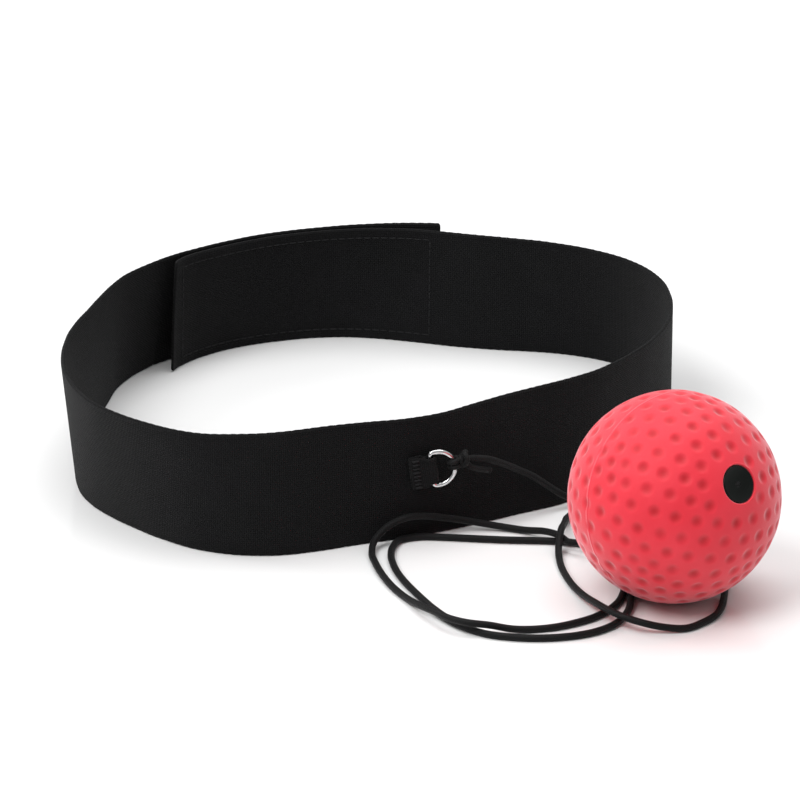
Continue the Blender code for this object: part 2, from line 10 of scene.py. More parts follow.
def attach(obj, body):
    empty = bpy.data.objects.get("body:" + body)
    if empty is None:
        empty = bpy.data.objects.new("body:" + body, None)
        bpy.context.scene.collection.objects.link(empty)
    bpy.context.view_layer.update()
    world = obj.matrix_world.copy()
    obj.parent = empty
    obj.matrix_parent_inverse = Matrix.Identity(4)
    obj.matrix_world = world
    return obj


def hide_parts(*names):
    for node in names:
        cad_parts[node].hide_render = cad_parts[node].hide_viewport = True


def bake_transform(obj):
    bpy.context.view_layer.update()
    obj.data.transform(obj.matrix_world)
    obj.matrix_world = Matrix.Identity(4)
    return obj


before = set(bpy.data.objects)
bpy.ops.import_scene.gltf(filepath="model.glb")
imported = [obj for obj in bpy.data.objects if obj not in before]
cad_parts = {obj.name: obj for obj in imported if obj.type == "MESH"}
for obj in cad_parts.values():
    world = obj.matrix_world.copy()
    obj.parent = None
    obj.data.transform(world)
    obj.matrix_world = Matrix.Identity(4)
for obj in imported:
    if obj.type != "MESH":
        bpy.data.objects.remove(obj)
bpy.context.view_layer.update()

MM = 0.001
FLOOR_REACH = 4.0

# Strap and closure, metres
BAND_HEIGHT = 0.038
WEB = 0.0013
TAPE = 0.0007
SEWN_GAP = 0.0002
TAPE_GAP = 0.0003
LAYER_STEP = WEB + 2.0 * TAPE + 2.0 * SEWN_GAP + TAPE_GAP
END_CURL = 0.0020
END_CURL_LENGTH = 0.014
FOOT_CURL = 0.0032
FOOT_CURL_LENGTH = 0.060
EAR = 0.0010
EAR_LENGTH = 0.004
FLAP_LIFT_TOP = 0.0044
FLAP_LIFT_FOOT = 0.0009
FLAP_LIFT_LENGTH = 0.045
OVERLAP = 0.0964
PEEL_AT = 0.008
CORNER = 0.0012
THREAD_RADIUS = 0.0002
THREAD_LIFT = WEB / 2.0 + THREAD_RADIUS * 0.4
SCALLOP = 0.0027
SCALLOP_DEPTH = 0.00013
LOOP_SPAN = (0.013, 0.096)
LOOP_INSET = 0.0015
HOOK_SPAN = (0.018, 0.091)
HOOK_INSET = 0.0025
TAPE_CORNER = 0.001
INNER_SEAM_SPAN = (0.005, 0.0955)
INNER_SEAM_INSET = 0.0032
OUTER_SEAM_SPAN = (0.0195, 0.0895)
OUTER_SEAM_INSET = 0.0038
PEEL_BLEND = 0.030

# Ring, tab and knot
RING_CENTRE = Vector((0.0081, -0.0512, 0.0220))
RING_RADIUS = 0.0054
RING_CORNER = 0.0012
WIRE_RADIUS = 0.00075
BAR_OFFSET = 0.0018
FACE_ANGLE = math.radians(23.8)
TAB_TILT = math.radians(8.0)
RING_LIFT = math.radians(12.0)
TAB_WEB = 0.0009
TAB_HEIGHT = 0.0101
TAB_NECK = 0.0084
TAB_LENGTH = 0.0063
FOLD_RADIUS = WIRE_RADIUS + 0.00025 + TAB_WEB / 2.0
KNOT_RADIUS = 0.00082
TAIL_RADIUS = 0.00092
KNOT_AT = math.radians(8.0)

# Cord
CORD_RADIUS = 0.00105
CORD_STEP = 0.0065
CORD_SIDES = 20
LEAD_FREE = 0.045
BALL_END_FREE = 0.06
KNOT_STEP = 0.0003

# Ball, bore and cup
BALL_RADIUS = 0.031
BALL_CENTRE = Vector((0.0762, -0.0956, 0.0310))
BORE_AXIS = Vector((0.56, -0.715, 0.418)).normalized()
BORE_RADIUS = 0.0016
SEAT_RADIUS = 0.00565
SEAT_FLOOR = 0.0235
CUP_RADIUS = 0.00535
CUP_FLOOR = 0.0238
CUP_WALL = 0.0009
LID_BELOW = 0.0291
LID_WALL = 0.0006
LID_HOLE = 0.0007
CUP_RIM = 0.0303
CUP_SEGMENTS = 128
STOP_KNOT_LEVEL = 0.0272
STOP_KNOT_WIND = 0.00165
STOP_KNOT_STRAND = 0.00085
BALL_ROWS = 250
BALL_SEGMENTS = 440
PARTING_NORMAL = Vector((-0.545, 0.828, -0.137)).normalized()
DIMPLE_REACH = 0.00225
DIMPLE_DEPTH = 0.00056
BALL_WAVE = 0.00006

# Strap plan, millimetres: foot x, foot y, top x, top y, clockwise from the inner end
PLAN = (
    (-81.7, 92.4, -76.8, 90.4),
    (-71.5, 102.4, -70.6, 96.6),
    (-61.2, 110.1, -60.2, 104.8),
    (-48.3, 116.1, -47.8, 112.6),
    (-35.6, 119.9, -35.1, 117.9),
    (-22.8, 121.3, -22.5, 121.1),
    (-10.7, 120.0, -10.0, 122.3),
    (2.0, 116.5, 2.6, 121.3),
    (15.0, 112.2, 15.0, 117.6),
    (30.0, 109.0, 30.0, 113.2),
    (43.1, 107.0, 43.0, 109.5),
    (56.2, 103.1, 55.6, 103.5),
    (66.3, 97.2, 65.8, 96.2),
    (74.5, 87.6, 74.0, 87.0),
    (80.0, 75.8, 80.0, 74.0),
    (82.5, 62.3, 82.4, 60.0),
    (82.4, 47.8, 82.5, 46.0),
    (80.0, 32.8, 80.3, 32.0),
    (74.5, 15.8, 74.6, 16.0),
    (66.3, -0.7, 66.0, 1.5),
    (56.8, -14.7, 56.3, -10.8),
    (45.5, -25.8, 45.2, -19.5),
    (33.0, -33.2, 33.0, -27.8),
    (21.0, -40.6, 21.0, -37.0),
    (9.0, -47.5, 9.0, -46.6),
    (-3.0, -52.8, -3.0, -51.8),
    (-15.0, -57.2, -15.0, -54.4),
    (-27.0, -62.3, -27.0, -58.0),
    (-39.0, -65.7, -39.0, -62.4),
    (-51.0, -65.5, -51.0, -63.8),
    (-63.0, -61.4, -63.0, -63.0),
    (-74.2, -52.8, -74.6, -57.0),
    (-84.0, -43.0, -86.0, -47.6),
    (-92.5, -32.5, -96.0, -35.8),
    (-99.2, -20.2, -103.0, -19.0),
    (-102.2, -6.7, -106.3, -2.0),
    (-102.3, 7.8, -106.5, 14.5),
    (-101.2, 23.8, -104.6, 29.5),
    (-99.7, 41.8, -100.5, 46.0),
    (-97.3, 58.3, -97.0, 59.2),
    (-94.6, 73.8, -92.6, 73.0),
    (-90.2, 84.8, -88.6, 80.7),
)

# Cord routes, millimetres: ring knot to the seam behind the ball, then on into the ball
LEAD_ROUTE = (
    (18.8, -47.6, 23.9), (21.6, -45.5, 23.1), (26.7, -41.7, 20.2), (31, -37.9, 16.9),
    (35.3, -35, 14), (39.6, -32.2, 10.3), (44, -29.9, 6.3), (48.3, -28.3, 3.3),
    (53, -27.2, 1.6), (59, -26.6, 1.1), (69, -27.9, 1.1), (80, -32.5, 1.1),
    (89, -41, 1.1), (95.5, -52, 1.1), (97, -65, 1.1), (95.6, -77.8, 1.1),
    (92.6, -88, 1.1), (91.2, -97, 1.1), (90.4, -104.1, 1.1), (87.8, -112.5, 1.1),
    (82.9, -118.6, 1.1), (76.9, -122.7, 1.2), (70.7, -122.8, 2.2), (64.7, -122.5, 3.5),
    (59.3, -118.5, 3.9), (54.5, -111.9, 3.9), (49.8, -99.6, 2.1), (46.5, -87.5, 1.1),
    (44.5, -76.6, 1.1), (44, -66.6, 1.9), (44.3, -61.8, 5.2), (44.9, -60.1, 5.9),
    (45.8, -53.9, 4.9), (46.8, -45.1, 2.8), (48.1, -38.2, 1.5), (51.5, -33.7, 1.1),
    (57, -30.9, 1.1), (63.5, -31.7, 1.1), (69, -36.7, 1.1), (73, -45, 1.1),
)
COIL_ROUTE = (
    (73, -45, 1.1), (75.3, -57, 1.1), (74.9, -69, 1.1), (71.7, -80, 1.1),
    (65.6, -89.3, 1.1), (64.0, -97, 1.1), (63.7, -104, 1.1), (62, -111.8, 1.1),
    (58.9, -118.4, 1.1), (54.1, -123.4, 1.1), (48.3, -126.6, 1.1), (42.5, -128.2, 1.1),
    (36.8, -128.8, 1.1), (31.1, -128.5, 1.1), (25.5, -127.3, 1.1), (19.8, -124.9, 1.1),
    (14.7, -120.2, 1.1), (10.5, -114.4, 1.1), (7.5, -109.4, 1.1), (4.9, -104, 1.1),
    (2.4, -98.2, 1.1), (-0.3, -91.6, 1.1), (-3.2, -83.1, 1.1), (-5.2, -73.5, 1.1),
    (-5.7, -66.3, 1.1), (-5.3, -62.7, 1.1), (-4.3, -58.6, 1.1), (-1.4, -54.8, 1.1),
    (2.4, -53.9, 1.1), (7, -53.9, 1.1), (13.4, -54.5, 1.1), (20.9, -55.4, 1.1),
    (26.8, -56, 1.1), (32.8, -56.6, 1.1), (38.8, -56.6, 1.1), (44.7, -57.6, 1.1),
    (50.2, -58.7, 1.1), (55.3, -61.7, 1.1), (59.7, -66.7, 1.1), (62.6, -73.5, 1.1),
    (63.7, -82.5, 1.1), (62.4, -91.5, 1.1), (61.2, -99.9, 1.1), (58.8, -105.9, 1.1),
    (55.5, -111.1, 1.1), (51.8, -114.9, 1.1), (47.7, -117.8, 1.1), (42.8, -120.5, 1.1),
    (37, -122.2, 1.1), (31.3, -122.9, 1.1), (26.3, -123.6, 2.1), (21, -124.1, 3.3),
    (16, -124.2, 3.9), (11.8, -121.7, 3.8), (8.2, -117, 3.6), (4.8, -112.1, 3),
    (1.4, -105.4, 1.8), (-2, -98.5, 1.1), (-5.6, -90.7, 1.1), (-9, -79.7, 1.1),
    (-10.9, -70.2, 1.1), (-11.4, -65, 1.4), (-10.8, -61.9, 2.6), (-9.6, -58.9, 3.5),
    (-7.3, -57.6, 5.4), (-4.6, -57.4, 7.2), (-1.4, -55.9, 8), (2.6, -53.8, 7.7),
    (7.8, -50.9, 6.3), (13.5, -47.9, 4.3), (18, -46.4, 3.1), (22.7, -46.5, 2.2),
    (27.9, -47, 1.5), (33, -48.4, 1.1), (38.3, -51.7, 2.2), (43.4, -56.6, 3.3),
    (46.6, -62.5, 3.2), (49.6, -64.9, 3.6), (52.8, -66.4, 5.6), (54.7, -67.9, 11),
    (56, -69.8, 16),
)


# ---------------------------------------------------------------- camera, floor and light

def make_camera():
    data = bpy.data.cameras.new("camera")
    data.sensor_width = 36.0
    data.lens = 221.5
    data.clip_start = 0.01
    data.clip_end = 20.0
    camera = bpy.data.objects.new("camera", data)
    camera.location = (-0.003, -1.41206, 0.56622)
    camera.rotation_euler = (math.radians(69.0), 0.0, 0.0)
    bpy.context.scene.collection.objects.link(camera)
    bpy.context.scene.camera = camera


def area_light(name, place, target, size, power):
    data = bpy.data.lights.new(name, "AREA")
    data.shape = "DISK"
    data.size = size
    data.energy = power
    lamp = bpy.data.objects.new(name, data)
    lamp.location = place
    lamp.rotation_euler = (Vector(target) - Vector(place)).to_track_quat("-Z", "Y").to_euler()
    bpy.context.scene.collection.objects.link(lamp)


# ---------------------------------------------------------------- materials

class Shade:
    """A material and short ways to add nodes to it."""

    def __init__(self, name):
        self.material = bpy.data.materials.new(name)
        self.material.use_nodes = True
        self.tree = self.material.node_tree
        self.shader = self.tree.nodes["Principled BSDF"]

    def put(self, **values):
        for name, value in values.items():
            self.shader.inputs[name.replace("_", " ")].default_value = value

    def link(self, source, name):
        self.tree.links.new(source, self.shader.inputs[name])

    def feed(self, node, index, value):
        if isinstance(value, (int, float)):
            node.inputs[index].default_value = value
        elif isinstance(value, tuple):
            node.inputs[index].default_value = value
        else:
            self.tree.links.new(value, node.inputs[index])

    def sum(self, kind, first, second=0.0, third=0.0):
        node = self.tree.nodes.new("ShaderNodeMath")
        node.operation = kind
        self.feed(node, 0, first)
        self.feed(node, 1, second)
        self.feed(node, 2, third)
        return node.outputs[0]

    def uv(self):
        node = self.tree.nodes.new("ShaderNodeTexCoord")
        split = self.tree.nodes.new("ShaderNodeSeparateXYZ")
        self.tree.links.new(node.outputs["UV"], split.inputs[0])
        return split.outputs[0], split.outputs[1]

    def where(self):
        return self.tree.nodes.new("ShaderNodeTexCoord").outputs["Object"]

    def noise(self, scale, detail=3.0, rough=0.5, stretch=None):
        node = self.tree.nodes.new("ShaderNodeTexNoise")
        node.inputs["Scale"].default_value = scale
        node.inputs["Detail"].default_value = detail
        node.inputs["Roughness"].default_value = rough
        vector = self.where()
        if stretch is not None:
            mapping = self.tree.nodes.new("ShaderNodeMapping")
            mapping.inputs["Scale"].default_value = stretch
            self.tree.links.new(vector, mapping.inputs["Vector"])
            vector = mapping.outputs[0]
        self.tree.links.new(vector, node.inputs["Vector"])
        return node.outputs[0]

    def cells(self, scale):
        node = self.tree.nodes.new("ShaderNodeTexVoronoi")
        node.inputs["Scale"].default_value = scale
        self.tree.links.new(self.where(), node.inputs["Vector"])
        return node.outputs["Distance"]

    def span(self, value, low, high, out_low=0.0, out_high=1.0):
        node = self.tree.nodes.new("ShaderNodeMapRange")
        self.feed(node, 0, value)
        for index, number in enumerate((low, high, out_low, out_high)):
            node.inputs[index + 1].default_value = number
        return node.outputs[0]

    def mix(self, share, first, second):
        node = self.tree.nodes.new("ShaderNodeMix")
        node.data_type = "RGBA"
        self.feed(node, 0, share)
        for index, value in ((6, first), (7, second)):
            if isinstance(value, tuple):
                node.inputs[index].default_value = (*value, 1.0)
            else:
                self.tree.links.new(value, node.inputs[index])
        return node.outputs[2]

    def bump(self, height, distance, strength=1.0):
        node = self.tree.nodes.new("ShaderNodeBump")
        node.inputs["Strength"].default_value = strength
        node.inputs["Distance"].default_value = distance
        self.tree.links.new(height, node.inputs["Height"])
        previous = self.shader.inputs["Normal"].links
        if previous:
            self.tree.links.new(previous[0].from_socket, node.inputs["Normal"])
        self.tree.links.new(node.outputs[0], self.shader.inputs["Normal"])

    def weave(self, across, along):
        """Height 0 to 1 of plain weave, from two coordinates counted in yarns."""
        first = self.sum("SUBTRACT", self.sum("FRACT", across), 0.5)
        second = self.sum("SUBTRACT", self.sum("FRACT", along), 0.5)
        crown = self.sum("COSINE", self.sum("MULTIPLY", first, math.pi))
        other = self.sum("COSINE", self.sum("MULTIPLY", second, math.pi))
        over = self.sum("MULTIPLY", crown, self.sum("MULTIPLY_ADD", other, 0.55, 0.45))
        under = self.sum("MULTIPLY", other, self.sum("MULTIPLY_ADD", crown, 0.55, 0.45))
        both = self.sum("ADD", self.sum("FLOOR", across), self.sum("FLOOR", along))
        odd = self.sum("ABSOLUTE", self.sum("MODULO", both, 2.0))
        odd = self.sum("GREATER_THAN", odd, 0.5)
        part = self.sum("MULTIPLY", odd, over)
        rest = self.sum("MULTIPLY", self.sum("SUBTRACT", 1.0, odd), under)
        return self.sum("ADD", part, rest)


def webbing_material(name, tone, pitch):
    """Woven polyester webbing; UV is millimetres along and across."""
    shade = Shade(name)
    along, across = shade.uv()
    weave = shade.weave(shade.sum("DIVIDE", across, pitch), shade.sum("DIVIDE", along, pitch))
    wear = shade.noise(55.0, 4.0, 0.6)
    fuzz = shade.noise(2600.0, 2.0, 0.6)
    # painted shade and highlight: a shaded and a lit copy of the tone, darker in the hollows between yarns
    # and lighter on their crowns
    dark = tuple(value * 0.35 for value in tone)
    light = tuple(value * 1.5 for value in tone)
    colour = shade.mix(weave, dark, light)
    faded = tuple(value * 2.0 for value in tone)
    colour = shade.mix(shade.span(wear, 0.5, 0.8, 0.0, 0.35), colour, faded)
    shade.link(colour, "Base Color")
    shade.link(shade.span(fuzz, 0.3, 0.7, 0.62, 0.86), "Roughness")
    shade.put(Specular_IOR_Level=0.10, Sheen_Weight=0.03, Sheen_Roughness=0.45)
    shade.bump(weave, 0.00022, 0.9)
    shade.bump(fuzz, 0.00004, 0.6)
    return shade.material


def cord_material(name):
    """Braided sheath; UV is turns round the cord and millimetres along it."""
    shade = Shade(name)
    turns, along = shade.uv()
    spiral = shade.sum("MULTIPLY", turns, 8.0)
    pitch = shade.sum("MULTIPLY", along, 1.25)
    weave = shade.weave(shade.sum("ADD", spiral, pitch), shade.sum("SUBTRACT", spiral, pitch))
    fuzz = shade.noise(3200.0, 2.0, 0.5)
    # painted shade and highlight: the colour is darker in the hollows of the braid and lighter on the crowns
    # of its strands
    colour = shade.mix(weave, (0.0010, 0.0010, 0.0012), (0.0060, 0.0060, 0.0064))
    shade.link(colour, "Base Color")
    shade.link(shade.span(fuzz, 0.3, 0.7, 0.42, 0.62), "Roughness")
    shade.put(Specular_IOR_Level=0.15, Sheen_Weight=0.03, Sheen_Roughness=0.5)
    shade.bump(weave, 0.00012, 0.8)
    shade.bump(fuzz, 0.00003, 0.5)
    return shade.material


def thread_material(name):
    shade = Shade(name)
    turns, along = shade.uv()
    twist = shade.sum("ADD", shade.sum("MULTIPLY", turns, 3.0), shade.sum("MULTIPLY", along, 2.2))
    ply = shade.sum("ABSOLUTE", shade.sum("SINE", shade.sum("MULTIPLY", twist, math.pi)))
    # painted shade and highlight: the thread is darker between its plies and lighter on their crowns
    shade.link(shade.mix(ply, (0.0025, 0.0025, 0.003), (0.011, 0.011, 0.012)), "Base Color")
    shade.link(shade.span(shade.noise(1800.0), 0.3, 0.7, 0.42, 0.6), "Roughness")
    shade.put(Specular_IOR_Level=0.2, Sheen_Weight=0.03)
    shade.bump(ply, 0.00008, 0.8)
    return shade.material


def loop_material(name):
    """Brushed loop pile."""
    shade = Shade(name)
    pile = shade.noise(1500.0, 5.0, 0.75)
    clumps = shade.noise(320.0, 3.0, 0.6)
    shade.link(shade.mix(pile, (0.0015, 0.0015, 0.0018), (0.010, 0.010, 0.011)), "Base Color")
    shade.link(shade.span(clumps, 0.3, 0.7, 0.85, 1.0), "Roughness")
    shade.put(Specular_IOR_Level=0.05, Sheen_Weight=0.06, Sheen_Roughness=0.6)
    shade.bump(clumps, 0.0006, 0.6)
    shade.bump(pile, 0.0003, 0.9)
    return shade.material


def hook_material(name):
    """Moulded hooks in rows on a thin tape."""
    shade = Shade(name)
    hooks = shade.cells(950.0)
    grain = shade.noise(900.0, 3.0, 0.6)
    shade.link(shade.mix(hooks, (0.014, 0.014, 0.015), (0.003, 0.003, 0.0035)), "Base Color")
    shade.link(shade.span(grain, 0.3, 0.7, 0.4, 0.62), "Roughness")
    shade.put(Specular_IOR_Level=0.2)
    shade.bump(hooks, 0.0006, 1.0)
    return shade.material


def metal_material(name):
    """Bright nickel with fine scratches and a little tarnish."""
    shade = Shade(name)
    scratches = shade.noise(900.0, 4.0, 0.6, stretch=(1.0, 6.0, 1.0))
    tarnish = shade.noise(260.0, 3.0, 0.6)
    colour = shade.mix(shade.span(tarnish, 0.5, 0.85, 0.0, 0.5), (0.64, 0.64, 0.65), (0.40, 0.39, 0.38))
    shade.link(colour, "Base Color")
    shade.put(Metallic=1.0)
    shade.link(shade.span(scratches, 0.3, 0.75, 0.06, 0.17), "Roughness")
    shade.bump(scratches, 0.00002, 0.35)
    return shade.material


def foam_material(name):
    """Soft foam with fine pores, painted shade (a darker red that deepens with each dimple's depth) in the
    dimples and a faint mould line.
    """
    shade = Shade(name)
    place = shade.where()
    depth = shade.tree.nodes.new("ShaderNodeAttribute")
    depth.attribute_name = "dimple"
    pores = shade.noise(2400.0, 3.0, 0.7)
    mottle = shade.noise(95.0, 4.0, 0.55)
    offset = shade.tree.nodes.new("ShaderNodeVectorMath")
    offset.operation = "SUBTRACT"
    shade.tree.links.new(place, offset.inputs[0])
    offset.inputs[1].default_value = BALL_CENTRE
    reach = shade.tree.nodes.new("ShaderNodeVectorMath")
    reach.operation = "DOT_PRODUCT"
    shade.tree.links.new(offset.outputs[0], reach.inputs[0])
    reach.inputs[1].default_value = PARTING_NORMAL
    wander = shade.sum("MULTIPLY_ADD", shade.noise(60.0, 2.0), 0.0005, -0.00025)
    apart = shade.sum("ABSOLUTE", shade.sum("ADD", reach.outputs["Value"], wander))
    ridge = shade.span(apart, 0.0, 0.0006, 1.0, 0.0)
    base = shade.mix(shade.span(mottle, 0.3, 0.75, 0.0, 1.0), (0.72, 0.022, 0.040), (0.76, 0.032, 0.054))
    # painted shade: the colour turns a darker red towards the bottom of each dimple, following the stored
    # dimple depth
    dimple_shade = shade.mix(shade.sum("MULTIPLY", depth.outputs["Fac"], 0.85), base, (0.46, 0.005, 0.012))
    line = shade.mix(shade.sum("MULTIPLY", ridge, 0.25), dimple_shade, (0.80, 0.09, 0.13))
    shade.link(line, "Base Color")
    shade.link(shade.span(pores, 0.3, 0.7, 0.5, 0.68), "Roughness")
    shade.put(Specular_IOR_Level=0.30, Sheen_Weight=0.62, Sheen_Roughness=0.42,
              Sheen_Tint=(1.0, 0.78, 0.83, 1.0))
    shade.put(Subsurface_Weight=0.05, Subsurface_Scale=0.003, Subsurface_Radius=(1.0, 0.2, 0.2))
    shade.bump(ridge, 0.00016, 0.9)
    shade.bump(mottle, 0.0006, 0.25)
    shade.bump(pores, 0.00006, 0.5)
    return shade.material


def plastic_material(name):
    """Satin moulded plastic."""
    shade = Shade(name)
    grain = shade.noise(1900.0, 3.0, 0.6)
    smear = shade.noise(180.0, 2.0, 0.5)
    shade.link(shade.mix(smear, (0.0012, 0.0018, 0.0015), (0.0035, 0.0055, 0.0045)), "Base Color")
    shade.link(shade.span(smear, 0.3, 0.7, 0.3, 0.46), "Roughness")
    shade.put(Specular_IOR_Level=0.2)
    shade.bump(grain, 0.00005, 0.5)
    return shade.material


def floor_material(name):
    shade = Shade(name)
    shade.put(Base_Color=(0.82, 0.82, 0.82, 1.0), Specular_IOR_Level=0.5)
    shade.link(shade.span(shade.noise(6.0, 2.0), 0.3, 0.7, 0.10, 0.14), "Roughness")
    return shade.material


# ---------------------------------------------------------------- curves and meshes

def smooth_path(points, fine=12):
    """Centripetal Catmull-Rom curve through the points, any number of columns."""
    points = np.asarray(points, dtype=float)
    ends = np.vstack([2.0 * points[0] - points[1], points, 2.0 * points[-1] - points[-2]])
    result = []
    for index in range(1, len(ends) - 2):
        before, start, end, after = ends[index - 1:index + 3]
        first = math.sqrt(np.linalg.norm(start - before))
        middle = math.sqrt(np.linalg.norm(end - start))
        last = math.sqrt(np.linalg.norm(after - end))
        leave = (start - before) / first - (end - before) / (first + middle) + (end - start) / middle
        arrive = (end - start) / middle - (after - start) / (middle + last) + (after - end) / last
        leave = leave * middle
        arrive = arrive * middle
        for part in range(fine):
            t = part / fine
            result.append(
                (2 * t ** 3 - 3 * t ** 2 + 1) * start + (t ** 3 - 2 * t ** 2 + t) * leave
                + (-2 * t ** 3 + 3 * t ** 2) * end + (t ** 3 - t ** 2) * arrive
            )
    result.append(points[-1])
    return np.array(result)


def path_lengths(points):
    steps = np.linalg.norm(np.diff(points, axis=0), axis=1)
    return np.concatenate([[0.0], np.cumsum(steps)])


def pick(points, lengths, where):
    return np.stack([np.interp(where, lengths, points[:, axis]) for axis in range(points.shape[1])], axis=1)


def even_path(points, step, fine=12):
    """Points at even spacing along the smooth curve."""
    line = smooth_path(points, fine)
    lengths = path_lengths(line)
    count = int(round(lengths[-1] / step))
    return pick(line, lengths, np.linspace(0.0, lengths[-1], count + 1))


def unit(rows):
    return rows / np.linalg.norm(rows, axis=1)[:, None]


def new_object(name, mesh, material):
    piece = bpy.data.objects.new(name, mesh)
    mesh.materials.append(material)
    bpy.context.scene.collection.objects.link(piece)
    return piece


def turn_outward(mesh):
    work = bmesh.new()
    work.from_mesh(mesh)
    bmesh.ops.recalc_face_normals(work, faces=work.faces)
    work.to_mesh(mesh)
    work.free()


class Sheaf:
    """Collects loops of points into one smooth mesh with UVs."""

    def __init__(self):
        self.points = []
        self.faces = []
        self.uvs = []
        self.count = 0

    def loft(self, loops, u_at, v_at, closed=False):
        """loops is rows x around x 3; u_at has one more entry than around."""
        loops = np.asarray(loops, dtype=float)
        rows, around = loops.shape[:2]
        self.points.append(loops.reshape(-1, 3))
        last_row = rows if closed else rows - 1
        for i in range(last_row):
            below = i
            above = (i + 1) % rows
            for j in range(around):
                side = (j + 1) % around
                base = self.count
                self.faces.append((base + below * around + j, base + below * around + side,
                                   base + above * around + side, base + above * around + j))
                self.uvs += [(u_at[j], v_at[i]), (u_at[j + 1], v_at[i]),
                             (u_at[j + 1], v_at[i + 1]), (u_at[j], v_at[i + 1])]
        if not closed:
            start = list(range(self.count, self.count + around))
            end = list(range(self.count + (rows - 1) * around, self.count + rows * around))
            self.faces.append(tuple(start))
            self.faces.append(tuple(end))
            self.uvs += [(u_at[j], v_at[0]) for j in range(around)]
            self.uvs += [(u_at[j], v_at[rows - 1]) for j in range(around)]
        self.count += rows * around

    def tube(self, points, radius, sides=16, closed=False):
        """A round tube; radius is one number or one per point. UV is turns and millimetres."""
        points = np.asarray(points, dtype=float)
        radius = np.broadcast_to(np.asarray(radius, dtype=float), (len(points),))
        if closed:
            ahead = unit(np.roll(points, -1, axis=0) - np.roll(points, 1, axis=0))
        else:
            ahead = unit(np.gradient(points, axis=0))
        side = np.cross(ahead[0], (0.3, 0.2, 0.9))
        side = side / np.linalg.norm(side)
        loops = []
        angles = np.linspace(0.0, 2.0 * math.pi, sides, endpoint=False)
        for index in range(len(points)):
            side = side - ahead[index] * np.dot(side, ahead[index])
            side = side / np.linalg.norm(side)
            up = np.cross(ahead[index], side)
            circle = np.outer(np.cos(angles), side) + np.outer(np.sin(angles), up)
            loops.append(points[index] + radius[index] * circle)
        u_at = np.linspace(0.0, 1.0, sides + 1)
        v_at = np.append(path_lengths(points), 0.0) / MM
        v_at[-1] = v_at[-2] + np.linalg.norm(points[-1] - points[0]) / MM
        self.loft(loops, u_at, v_at, closed=closed)

    def mesh(self, name):
        mesh = bpy.data.meshes.new(name)
        mesh.from_pydata(np.vstack(self.points).tolist(), [], self.faces)
        layer = mesh.uv_layers.new(name="UVMap")
        layer.data.foreach_set("uv", np.array(self.uvs, dtype=np.float32).ravel())
        mesh.polygons.foreach_set("use_smooth", [True] * len(mesh.polygons))
        turn_outward(mesh)
        return mesh


class Strap:
    """The strap's plan as foot and top lines with a shared outward direction."""

    def __init__(self):
        plan = np.array(PLAN) * MM
        first = smooth_path(plan[:4])
        outward = self.outward(first)
        start = first[0].copy()
        start[:2] += outward[0] * LAYER_STEP
        start[2:] += outward[0] * LAYER_STEP
        plan = np.vstack([plan, start])
        line = smooth_path(plan, 30)
        middle = (line[:, :2] + line[:, 2:]) / 2.0
        lengths = path_lengths(middle)
        self.total = lengths[-1]
        where = np.linspace(0.0, self.total, int(self.total / 0.0005) + 1)
        line = pick(line, lengths, where)
        kernel = np.exp(-0.5 * (np.arange(-20, 21) * 0.0005 / 0.0032) ** 2)
        kernel = kernel / kernel.sum()
        padded = np.vstack([2.0 * line[0] - line[20:0:-1], line, 2.0 * line[-1] - line[-2:-22:-1]])
        self.line = np.stack([np.convolve(padded[:, axis], kernel, "valid") for axis in range(4)], axis=1)
        self.lengths = where
        self.out = self.outward(self.line)

    @staticmethod
    def outward(line):
        middle = (line[:, :2] + line[:, 2:]) / 2.0
        along = unit(np.gradient(middle, axis=0))
        return np.stack([-along[:, 1], along[:, 0]], axis=1)

    def at(self, where, share, offset):
        """Points at arc lengths, height shares and offsets; past the loop's end the outer layer goes on."""
        where, share, offset = np.broadcast_arrays(
            np.asarray(where, float), np.asarray(share, float), np.asarray(offset, float))
        second = where > self.total
        here = np.where(second, where - self.total, where)
        end = np.maximum(0.0, 1.0 - here / END_CURL_LENGTH)
        foot = np.maximum(0.0, 1.0 - here / FOOT_CURL_LENGTH)
        ear = np.maximum(0.0, 1.0 - here / EAR_LENGTH)
        low = 1.0 - share
        inner = -(END_CURL * end ** 2 + FOOT_CURL * low * foot ** 2 + EAR * low ** 3 * ear ** 2)
        rest = np.maximum(0.0, 1.0 - (OVERLAP - here) / FLAP_LIFT_LENGTH)
        lift = (FLAP_LIFT_FOOT * (1.0 - share) + FLAP_LIFT_TOP * share) * rest * rest
        layer = np.where(second, LAYER_STEP + lift, inner)
        row = pick(self.line, self.lengths, here.ravel()).reshape(here.shape + (4,))
        out = pick(self.out, self.lengths, here.ravel())
        out = unit(out).reshape(here.shape + (2,))
        reach = (layer + offset)[..., None]
        flat = row[..., :2] * (1.0 - share)[..., None] + row[..., 2:] * share[..., None] + out * reach
        return np.concatenate([flat, (share * BAND_HEIGHT)[..., None]], axis=-1)


def rounding(distance, corner=CORNER):
    """How much a rounded corner trims an edge at a distance from the end."""
    short = np.clip(distance, 0.0, corner)
    return corner - np.sqrt(np.maximum(0.0, corner ** 2 - (corner - short) ** 2))


def edge_section(height, thickness, middle_step=0.0034):
    """Distances from the lower edge and half thicknesses across a web with soft edges."""
    near = [0.0, 0.00006, 0.0002, 0.00042, 0.0007, 0.0011, 0.00145, 0.0017, 0.0020, 0.0027]
    near = [value for value in near if value < height * 0.4]
    count = max(2, int((height - 2.0 * near[-1]) / middle_step))
    inner = list(np.linspace(near[-1], height - near[-1], count + 1)[1:-1])
    levels = np.array(near + inner + [height - value for value in near[::-1]])
    apart = np.minimum(levels, height - levels)
    soft = thickness * 0.62
    share = np.clip(apart / soft, 0.0, 1.0)
    half = thickness / 2.0 * np.sqrt(np.maximum(0.0, 1.0 - (1.0 - share) ** 2))
    groove = 0.00007 * np.exp(-((apart - 0.0017) / 0.00022) ** 2)
    return levels, half - groove


